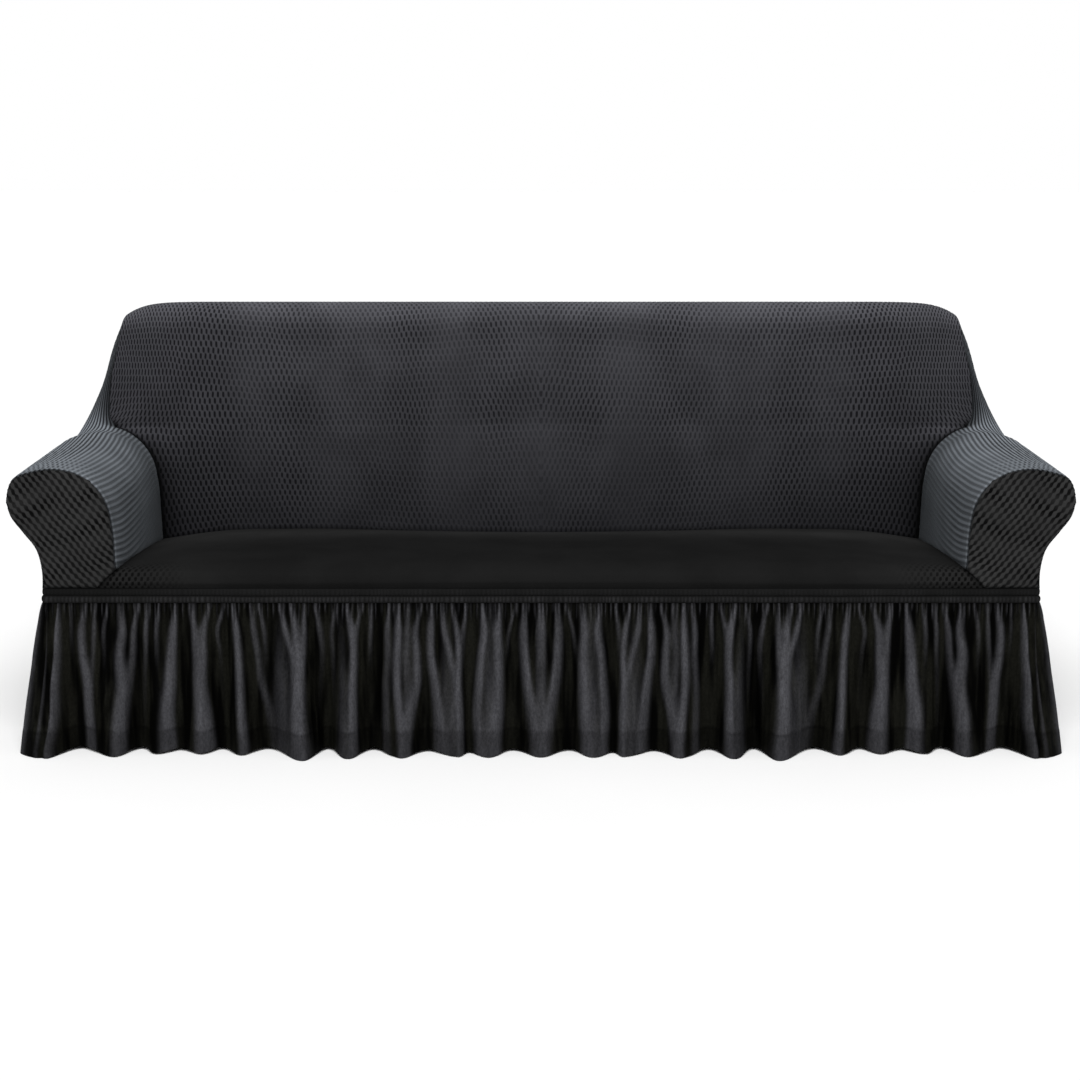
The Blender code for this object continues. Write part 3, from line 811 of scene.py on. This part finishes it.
# staggered hollows over cells to the side and rows upwards, which wander; they are deeper towards the sides
def makeBack():
    u, v = gridOf(back["columns"], back["rows"])
    points = backSurface(u, v)
    left, right, low, high = edgesOf(points)
    x = np.abs(points[..., 0])
    middle = low[low.shape[0] // 2][None, :]
    a = x / cover["cell"] + back["narrow"] * ramp(x, 0.80, 1.0) ** 2 * ease(v, 0.40, 0.62)
    a = wandered(a, back["cellsWander"], x, low)
    b = wandered(middle / cover["course"], back["rowsWander"], x, low)
    smooth = 0.30 * nearEdge(x, 0.30) * nearEdge(middle - 0.13, 0.10)    # low in the middle
    patch = 0.70 + 0.26 * drift(x, low, 0.16, 34) - smooth
    patch = np.clip(patch + 0.45 * ease(x, 0.50, 0.90), 0, 1.15)
    below = 1 - ease(v, back["turn"] + 0.01, back["turn"] + 0.09)        # beside the arms
    edge = np.minimum(left, right)
    sides = np.maximum(nearEdge(edge, 0.014), 0.5 * nearEdge(edge, 0.034)) * below
    foot = nearEdge(low, 0.007)
    relief = -back["relief"] * hollows(a, b, panelKnit) * patch - 0.002 * nearEdge(high, 0.004)
    # painted shade: a wide soft shade and a dark crease along the sides beside the arms, and a dark line
    # along the seat
    tone = darkened(1 - 0.18 * nearEdge(edge, 0.16) * below, back, sides=sides, foot=foot)
    # darker towards the seat, painted shade; lighter where the cloth faces up, painted top light on the top
    tone = tone * (0.82 + 0.20 * ease(v, 0.0, 0.75)) * (1 + 2.0 * facingUp(points) ** 2)
    values = {"tone": tone, "depth": patch}
    piece = clothPiece("back_cloth", points, relief, join(a, b), values, looks["back"])
    finishPiece("inside_back")


makeBack()


# ---- outside back

rearPanel = {
    "columns": 360,
    "rows": 48,
    "padding": 0.006,
    "cellsWander": [(1.1, 0.6, 41)],
    "rowsWander": [(1.1, 0.7, 42)],
    "seam": 0.002,
    "darker": {"edge": 0.6, "foot": 0.5},
    "flat": (1.75, 0.42),
}


# Coons patch between the rear seam, the two rear corners and the waistband, padded by 4 sqrt(u(1-u)v(1-v))
def rearSurface(u, v):
    def corner(sign):
        return lambda share: alongLine(arm["corner"], 1 - share) * np.array([sign, 1, 1])

    points = coons(
        lambda share: join((1 - 2 * share) * arm["corner"][-1][0], cover["rear"], cover["bandTop"]),
        lambda share: backSurface(1 - share, np.ones_like(share)),
        corner(1),
        corner(-1),
        u,
        v,
    )
    points[..., 1] += rearPanel["padding"] * 4 * np.sqrt(u * (1 - u) * v * (1 - v))
    return points


# smooth sheet; the knit's cells and rows are in its material alone
def makeRear():
    u, v = gridOf(rearPanel["columns"], rearPanel["rows"])
    points = rearSurface(u, v)
    left, right, low, high = edgesOf(points)
    x = points[..., 0]
    a = wandered(x / cover["cell"], rearPanel["cellsWander"], x, low)
    b = wandered(low / cover["course"], rearPanel["rowsWander"], x, low)
    edge = nearEdge(np.minimum(np.minimum(left, right), high), 0.006)
    foot = nearEdge(low, 0.008)
    relief = -rearPanel["seam"] * np.maximum(edge, foot)
    tone = darkened(1.0, rearPanel, edge=edge, foot=foot)
    values = {"tone": tone, "depth": 0.75 + 0.25 * drift(x, low, 0.14, 43)}
    piece = clothPiece("rear_cloth", points, relief, join(a, b), values, looks["back"])
    finishPiece("outside_back")


makeRear()


# ---- seat

# side x half, belly 1 - |side|^square between the row's middle and its ends, turned to the line of the back
def seatSurface(u, v):
    y, z, half, endZ = split(alongLine(seat["rows"], v))
    side = 2 * u - 1
    belly = 1 - np.abs(side) ** seat["square"]
    x = side * (half + seat["tuck"])
    foot = arm["section"][0][1]
    lastRow = foot + (seat["rows"][-1][1] - foot) * belly
    nearBack = ramp(v, seat["settle"], 1) ** 2
    return join(x, y, endZ + (z - endZ) * belly + (seatRear(x) - lastRow) * nearBack)


# smooth but for faint hollows at the front corners and a line of stitches above the waistband
def makeSeat():
    u, v = gridOf(*seat["steps"])
    side = 2 * u - 1
    u = 0.5 + 0.5 * ((1 + seat["crowd"]) * side - seat["crowd"] * side**5)
    points = seatSurface(u, v)
    left, right, low, high = edgesOf(points)
    x = points[..., 0]
    a, b = x / cover["cell"] * seat["cells"], low / cover["course"]
    corner = ease(np.abs(x), 0.70, 0.87) * (1 - ease(low, 0.03, 0.16))
    sides, rear, foot = nearEdge(np.minimum(left, right), 0.008), nearEdge(high, 0.005), nearEdge(low, 0.006)
    stitches = nearEdge(low - seat["stitches"], 0.0022)
    relief = -seat["relief"] * hollows(a, b, panelKnit) * corner - 0.0035 * foot - 0.0012 * stitches
    # painted shade in the creases with the arms and the back; the foot and the stitches are a dark seam
    tone = darkened(1.0, seat, sides=sides, rear=rear, foot=foot, stitches=stitches)
    # painted sheen and light: lighter in a strip before the back, towards the arms and towards the rear
    tone = tone * (1 + 0.6 * nearEdge(high - 0.18, 0.09) * (1 - ease(np.abs(x), 0.60, 0.80)))
    tone = 0.90 * tone * (1 + 0.60 * ease(np.abs(x), 0.55, 0.87)) * (1 + 0.8 * ease(low, 0.32, 0.58))
    values = {"tone": tone, "depth": corner}
    piece = clothPiece("seat_cloth", points, relief, join(a, b), values, looks["seat"])
    finishPiece("seat")


makeSeat()


# ---- waistband and skirt

quarters = ("front", "right", "back", "left")


# half the length of a side of the waist, and how far out it lies
def waistSize(quarter):
    half, reach = cover["baseHalf"], -cover["front"]
    return (half, reach) if quarter % 2 == 0 else (reach, half)


# one side of the waist with half of each corner, straight up to a share of it and then an eighth of a circle:
# place along it, place out from the middle, and the two parts of its normal
def waistLine(u, quarter, straight):
    half, reach = waistSize(quarter)
    place = np.abs(2 * u - 1)
    turn = ramp(place, straight, 1) * math.pi / 4
    corner = cover["baseCorner"]
    along = ramp(place, 0, straight) * (half - corner) + corner * np.sin(turn)
    out = reach - corner + corner * np.cos(turn)
    sign = np.sign(u - 0.5)
    return sign * along, out, sign * np.sin(turn), np.cos(turn)


# a point of one side turned onto the front, right, back or left
def placed(along, out, z, quarter):
    x, y = ((along, -out), (out, along), (-along, out), (-out, -along))[quarter]
    return join(x, y, z)


band = {
    # two shirred rows and the groove between them: share of the height down, share of the puff
    "section": [(0.00, 0.0), (0.10, 0.45), (0.26, 0.6), (0.42, 0.5), (0.52, 0.0),
                (0.60, 0.75), (0.75, 1.0), (0.90, 0.85), (1.00, 0.5)],
    "puff": 0.0040,
    "pleat": 0.0085,        # distance between pleats
    "pleatDepth": 0.0014,
    "rowShift": 0.37,       # of a pleat, between the two rows
    "droop": 0.0012,        # how far the pleats' middle wanders up and down
    "straight": 0.99,       # share of a side before its corners
    "steps": (1440, 600),   # long sides, short sides
    "rows": 12,
    "thickness": 0.0022,
    "coarse": 6,
    "darker": {"upper": 0.25},
    "flatLengths": (2.0, 0.85),
    "flatHeight": 0.045,
}


# pleats: cosine waves along the side that wander, change their strength and differ in the two rows
def makeBands():
    for quarter, side in enumerate(quarters):
        short = quarter % 2
        u, v = gridOf(band["steps"][short], band["rows"])
        along, out = waistLine(u, quarter, band["straight"])[:2]
        drop, puff = split(alongRows(band["section"], 1 - v))
        puff = np.clip(puff, 0, 1)
        row = (drop > 0.5) * 1.0
        place = np.abs(along) / band["pleat"]
        place = wandered(place, [(0.9, 0.11, 51 + quarter), (0.35, 0.03, 61 + quarter)], along, row)
        pleat = (0.5 + 0.5 * np.cos(2 * math.pi * (place + band["rowShift"] * row))) * puff
        strong = 0.6 + 0.4 * drift(along, row, 0.05, 65 + quarter)
        droop = band["droop"] * drift(along, row, 0.16, 75 + quarter) * (1 - 2 * np.abs(drop - 0.5))
        stand = band["puff"] * puff - band["pleatDepth"] * (1 - pleat) * puff * strong
        z = cover["bandTop"] - (cover["bandTop"] - cover["bandFoot"]) * drop + droop
        points = placed(along, out, z, quarter)
        # painted shade: darker where the cloth is drawn in, at the edges and between the two rows. The upper
        # row is darker, with darker edges, but less so in the middle of a long side
        faint = (1 - row) * (1 - ease(np.abs(along), 0.70, 0.95)) * (1 - short)
        shade = 0.35 + 0.40 * faint
        tone = (shade + (1 - shade) * puff) * (1 + 0.30 * drift(along, row, 0.09, 71 + quarter))
        tone = darkened(tone, band, upper=(1 - row) * (1 - faint))
        values = {"tone": tone, "depth": pleat * strong * (0.5 + 0.5 * row)}
        uv, name = join(along / band["pleat"], drop), "band_cloth_" + side
        sizes = (band["thickness"], band["coarse"])
        piece = clothPiece(name, points, stand, uv, values, looks["band"], *sizes)
        finishPiece("band_" + side)


makeBands()


skirt = {
    # folds at the hem of a long side, then of a short one, from the middle outwards: place and stand of a
    # crest, then of the valley beyond it
    "hems": ([
        (0.000, 0.048, 0.059, 0.006), (0.110, 0.050, 0.150, 0.022), (0.172, 0.046, 0.236, 0.010),
        (0.292, 0.054, 0.352, 0.000), (0.402, 0.060, 0.447, -0.004), (0.491, 0.072, 0.572, -0.006),
        (0.627, 0.036, 0.669, -0.004), (0.710, 0.028, 0.759, 0.002), (0.804, 0.030, 0.838, -0.008),
        (0.889, 0.047, 0.966, -0.010),
    ], [
        (0.000, 0.040, 0.050, -0.004), (0.098, 0.052, 0.146, 0.004),
        (0.186, 0.036, 0.238, -0.006), (0.292, 0.056, 0.362, -0.002),
    ]),
    # creases of a long side, from the middle outwards. In millimetres: places at the six drops, half widths
    # at the top and the hem. Then strengths at the top, halfway and at the hem, and how much wider the outer
    # flank is than the inner one.
    "drops": (0.03, 0.18, 0.34, 0.54, 0.74, 0.95),
    "creases": [
        (2, 2, 2, 2, 2, 2, 10, 15, 0.8, 0.45, 0.65, 0),
        (33, 35, 33, 27, 17, 8, 10, 16, 0.75, 0.85, 0.55, 0.2),
        (54, 66, 71, 71, 71, 71, 6, 8, 0.6, 0, 0, 0),
        (85, 89, 87, 87, 89, 95, 10, 15, 0.75, 0.9, 0.85, 0.1),
        (104, 106, 108, 108, 110, 112, 17, 21, 0.25, 0.35, 0.65, 0),
        (122, 118, 124, 129, 133, 129, 10, 11, 0.8, 0.85, 0.75, 0.2),
        (156, 162, 164, 164, 164, 164, 7, 8, 0.7, 0, 0, 0),
        (185, 176, 172, 172, 170, 170, 8, 9, 0.7, 0.85, 0.8, 0),
        (207, 203, 191, 178, 178, 178, 8, 10, 0.8, 0.5, 0.1, 0),
        (197, 197, 197, 195, 195, 197, 17, 25, 0.1, 0.35, 0.6, 0),
        (226, 228, 228, 220, 214, 210, 10, 13, 0.75, 0.85, 0.6, 0.35),
        (251, 261, 259, 259, 272, 282, 8, 15, 0.6, 0.8, 0.5, 0.2),
        (278, 280, 282, 280, 280, 284, 10, 12, 0.5, 0.5, 0.3, 0),
        (297, 297, 299, 299, 293, 286, 10, 11, 0.8, 1, 1, 0.3),
        (317, 322, 322, 326, 326, 324, 8, 12, 0.75, 0.45, 0.5, 0),
        (355, 357, 359, 359, 359, 359, 7, 8, 0.7, 0.1, 0, 0),
        (376, 386, 392, 394, 394, 394, 7, 10, 0.6, 0.3, 0.1, 0),
        (405, 396, 392, 394, 394, 394, 10, 10, 0.9, 1, 0.9, 0),
        (419, 419, 417, 415, 415, 415, 10, 17, 0.1, 0.35, 0.55, 0),
        (429, 438, 438, 436, 436, 436, 7, 8, 0.6, 0.25, 0, 0),
        (471, 463, 459, 463, 467, 467, 8, 8, 0.7, 0.25, 0, 0),
        (496, 496, 498, 506, 510, 510, 8, 12, 0.7, 0.5, 0.2, 0),
        (523, 515, 512, 510, 510, 504, 10, 19, 0.75, 0.95, 0.95, -0.25),
        (544, 535, 521, 517, 519, 519, 8, 10, 0.9, 0.5, 0.3, 0),
        (544, 544, 544, 544, 544, 541, 19, 27, 0.1, 0.4, 0.55, 0),
        (589, 581, 579, 579, 579, 579, 7, 8, 0.75, 0.1, 0, 0),
        (606, 602, 595, 589, 575, 566, 8, 12, 0.65, 0.5, 0.2, 0),
        (643, 637, 633, 631, 629, 624, 10, 12, 0.8, 0.85, 0.8, 0.1),
        (664, 678, 674, 672, 672, 672, 7, 8, 0.6, 0.15, 0, 0),
        (693, 705, 707, 710, 703, 699, 10, 18, 0.6, 0.9, 0.9, 0.3),
        (730, 726, 724, 722, 720, 718, 8, 15, 0.8, 0.45, 0.6, 0),
        (763, 768, 772, 776, 782, 782, 10, 18, 0.75, 1, 1, 0.3),
        (799, 805, 805, 805, 805, 805, 7, 8, 0.7, 0.1, 0, 0),
        (822, 828, 830, 834, 836, 838, 8, 8, 0.7, 0.3, 0.1, 0),
        (844, 853, 857, 865, 873, 880, 8, 12, 0.75, 0.5, 0.2, 0),
        (876, 873, 878, 873, 880, 882, 10, 17, 0.6, 0.85, 0.85, 0.4),
        (907, 915, 915, 915, 915, 915, 7, 8, 0.55, 0.1, 0, 0),
        (934, 936, 940, 946, 952, 952, 7, 10, 0.55, 0.35, 0.2, 0),
        (954, 963, 963, 956, 954, 950, 10, 15, 0.65, 0.85, 0.7, 0),
        (983, 985, 985, 985, 985, 985, 6, 8, 0.5, 0, 0, 0),
        (1010, 1015, 1017, 1023, 1025, 1037, 8, 12, 0.7, 0.85, 0.65, -0.5),
        (1037, 1037, 1039, 1046, 1054, 1062, 6, 8, 0.2, 0.35, 0.45, 0),
    ],
    "strengthDrops": (0.05, 0.45, 0.95),    # where the three strengths hold
    "spread": (0.8, 0.95),  # what the two half widths are multiplied by
    "gather": 16.5,         # millimetres between the creases of a short side
    "crisp": 2.7,           # power in a crease's bell: above 2, flatter on top and steeper beside
    "tuck": 0.0115,         # distance between the small tucks under the band
    # height of a full crease over the valleys, and the drops of the cloth at which it is so high
    "height": (0.005, 0.009, 0.013, 0.013, 0.006),
    "heightDrops": (0.0, 0.08, 0.35, 0.65, 1.0),
    "cornerOut": 0.060,     # how far out the hem stands at the corners
    "cornerWidth": 0.035,
    "flare": 0.024,         # how far out it leans by itself
    "start": 0.0010,        # how far out it stands under the band
    "inmost": -0.016,       # no point stands further in
    "tucked": 0.0003,       # how far it starts below the band
    "valleyLift": 0.007,    # how much higher the hem is in a valley
    "hem": 0.051,           # height of the double hem
    "ghost": 0.207,         # height of the faint line across the cloth
    "steps": ((760, 48), (280, 40), (520, 36), (280, 40)),
    "thickness": 0.0012,
    "coarse": 1,
    "darker": {"doubled": 0.36, "stitch": 0.30, "heads": 0.5, "ghost": 0.22},
    "flatLengths": (2.9, 1.2),
    "flatHeight": 0.33,
}


# creases of a short side: a gather every few millimetres that leans towards the nearest fold of the hem
def shortCreases():
    random = np.random.default_rng(81)
    folds = np.array([fold[0] for fold in skirt["hems"][1]] + [0.47]) * 1000     # the last one is the corner
    rows = []
    for place in np.arange(4, 490, skirt["gather"]):
        top = place + random.uniform(-4, 4)
        fold = folds[np.argmin(np.abs(folds - top))]
        hem = top + 0.45 * (fold - top)
        strong = max(0.0, 1 - abs(hem - fold) / 30)
        halfway = random.uniform(0.1, 0.5) + 0.5 * strong
        places = list(np.interp(skirt["drops"], (0, 1), (top, hem)))
        rows.append((*places, 8, 17, random.uniform(0.6, 0.9), halfway, strong, random.uniform(-0.3, 0.3)))
    return rows


# how far out the hem stands: half a cosine wave between each crest and valley and the next
def hemOut(along, quarter):
    folds = skirt["hems"][quarter % 2]
    half, _ = waistSize(quarter)
    places = [place for fold in folds for place in (fold[0], fold[2])] + [half]
    heights = np.array([height for fold in folds for height in (fold[1], fold[3])] + [skirt["cornerOut"]])
    order = np.interp(np.abs(along), places, np.arange(len(places)))
    first = np.clip(order.astype(int), 0, len(places) - 2)
    climb = heights[first + 1] - heights[first]
    return heights[first] + climb * (1 - np.cos(math.pi * (order - first))) / 2


# 1 on a crest, 0 in the valleys: 1 less the product of 1 - strength x bell over all creases
def crestness(reach, drop, creases):
    valley = np.ones_like(reach)
    for crease in np.array(creases, dtype=float):
        place = smoothThrough(crease[:6, None] / 1000, np.array(skirt["drops"]), drop)[..., 0]
        topWidth, hemWidth = crease[6:8] * skirt["spread"]
        width = (topWidth + (hemWidth - topWidth) * drop) / 1000
        width = width * (1 + crease[11] * np.sign(reach - place)) * (0.65 + 0.35 * ease(drop, 0, 0.2))
        bell = np.exp(-np.abs((reach - place) / width) ** skirt["crisp"])
        valley *= 1 - np.interp(drop, skirt["strengthDrops"], crease[8:11]) * bell
    return 1 - valley


# small tucks under the band: cosine wave to the third power, each fading out at its own drop
def tucks(reach, drop, seed):
    place = reach / skirt["tuck"] + 0.6 * drift(reach, 0 * reach, 0.05, seed)
    length = 0.13 + 0.08 * drift(reach, 0 * reach, 0.04, seed + 1)
    return 0.55 * (0.5 + 0.5 * np.cos(2 * math.pi * place)) ** 3 * (1 - ease(drop, 0.2 * length, length))


# stand out from the waist: start + (flare - start) drop^0.7 + (hem - flare) drop + height (crest - 0.45)
def makeSkirts():
    creases = (skirt["creases"], shortCreases())
    for quarter, side in enumerate(quarters):
        u, v = gridOf(*skirt["steps"][quarter])
        v = v**1.1                       # rows stand closer at the hem
        half, _ = waistSize(quarter)
        arc = (cover["baseCorner"] + skirt["cornerOut"]) * math.pi / 4
        along, out, normalAlong, normalOut = waistLine(u, quarter, half / (half + arc))
        drop = 1 - v
        reach = np.abs(2 * u - 1) * (half + arc)
        hem = hemOut(along, quarter)
        crest = crestness(reach, drop, creases[quarter % 2])
        corner = ease(reach, half + arc - skirt["cornerWidth"], half + arc)
        crest = 1 - (1 - crest) * (1 - tucks(reach, drop, 91 + quarter % 2))
        crest = crest * (1 - corner) + 0.15 * corner
        height = np.interp(drop, skirt["heightDrops"], skirt["height"])
        stand = (
            skirt["start"]
            + (skirt["flare"] - skirt["start"]) * drop**0.7
            + (hem - skirt["flare"]) * drop
            + height * (crest - 0.45)
        )
        stand = np.maximum(stand, skirt["inmost"])
        lift = skirt["valleyLift"] * ramp(hem, skirt["cornerOut"], 0) * drop
        z = (cover["bandFoot"] - skirt["tucked"]) * v + lift
        points = placed(along + stand * normalAlong, out + stand * normalOut, z, quarter)
        doubled = 1 - ease(z, skirt["hem"] - 0.0015, skirt["hem"] + 0.0015)
        stitch = nearEdge(z - skirt["hem"], 0.002)
        ghost = nearEdge(z - skirt["ghost"], 0.0025)
        # heads: painted shade at the top of the skirt, just under the band
        tone = darkened(1.0, skirt, doubled=doubled, stitch=stitch, heads=nearEdge(drop, 0.02), ghost=ghost)
        relief = 0.0005 * doubled - 0.0004 * stitch
        values = {"tone": tone, "depth": crest}
        uv, name = join(along, z), "skirt_cloth_" + side
        sizes = (skirt["thickness"], skirt["coarse"])
        piece = clothPiece(name, points, relief, uv, values, looks["skirt"], *sizes)
        finishPiece("skirt_" + side)


makeSkirts()


# ---- floor, light and camera

studio = {
    "floor": (0.86, 0.86, 0.86),
    "floorSize": 60,
    "floorHeight": -0.0006,
    "horizon": 1.0,         # brightness of the surroundings near the horizon and overhead
    "overhead": 0.35,
    "sun": 3.5,
    "softness": math.radians(45),
    "sunTilt": math.radians(40),    # from straight down, towards the front
    "camera": (-0.0022, -4.979, 1.3337),
    "pitch": math.radians(10.988),  # down from level
    "lens": 75.0,
}


def makeStudio():
    bpy.ops.mesh.primitive_plane_add(size=studio["floorSize"], location=(0, 0, studio["floorHeight"]))
    floor = bpy.context.object
    floor.name = "floor"
    look = plainLook("pale_floor", 0.9, 0.0, 0.0)
    shade = look.range(look.noise(1.5, 2.0), 0.3, 0.7, 0.985, 1.0)
    look.feed("Base Color", look.scaled(studio["floor"], shade))
    floor.data.materials.append(look.owner)

    sky = Look(bpy.data.worlds.new("studio"), "Background", {"Color": (1, 1, 1, 1)})
    direction = sky.node("ShaderNodeTexCoord", output="Generated")
    rise = sky.node("ShaderNodeSeparateXYZ", {}, {0: direction}, "Z")
    sky.feed("Strength", sky.range(rise, 0.06, 0.25, studio["horizon"], studio["overhead"]))
    bpy.context.scene.world = sky.owner

    sun = bpy.data.objects.new("sun", bpy.data.lights.new("sun", "SUN"))
    sun.data.energy = studio["sun"]
    sun.data.angle = studio["softness"]
    sun.rotation_euler = (studio["sunTilt"], 0, 0)
    bpy.context.scene.collection.objects.link(sun)

    camera = bpy.data.objects.new("camera", bpy.data.cameras.new("camera"))
    camera.data.lens = studio["lens"]
    camera.location = studio["camera"]
    camera.rotation_euler = (math.pi / 2 - studio["pitch"], 0, 0)
    bpy.context.scene.collection.objects.link(camera)
    bpy.context.scene.camera = camera
    bpy.context.scene.view_settings.view_transform = "Standard"


makeStudio()
print("slipcover: floor, light and camera set")
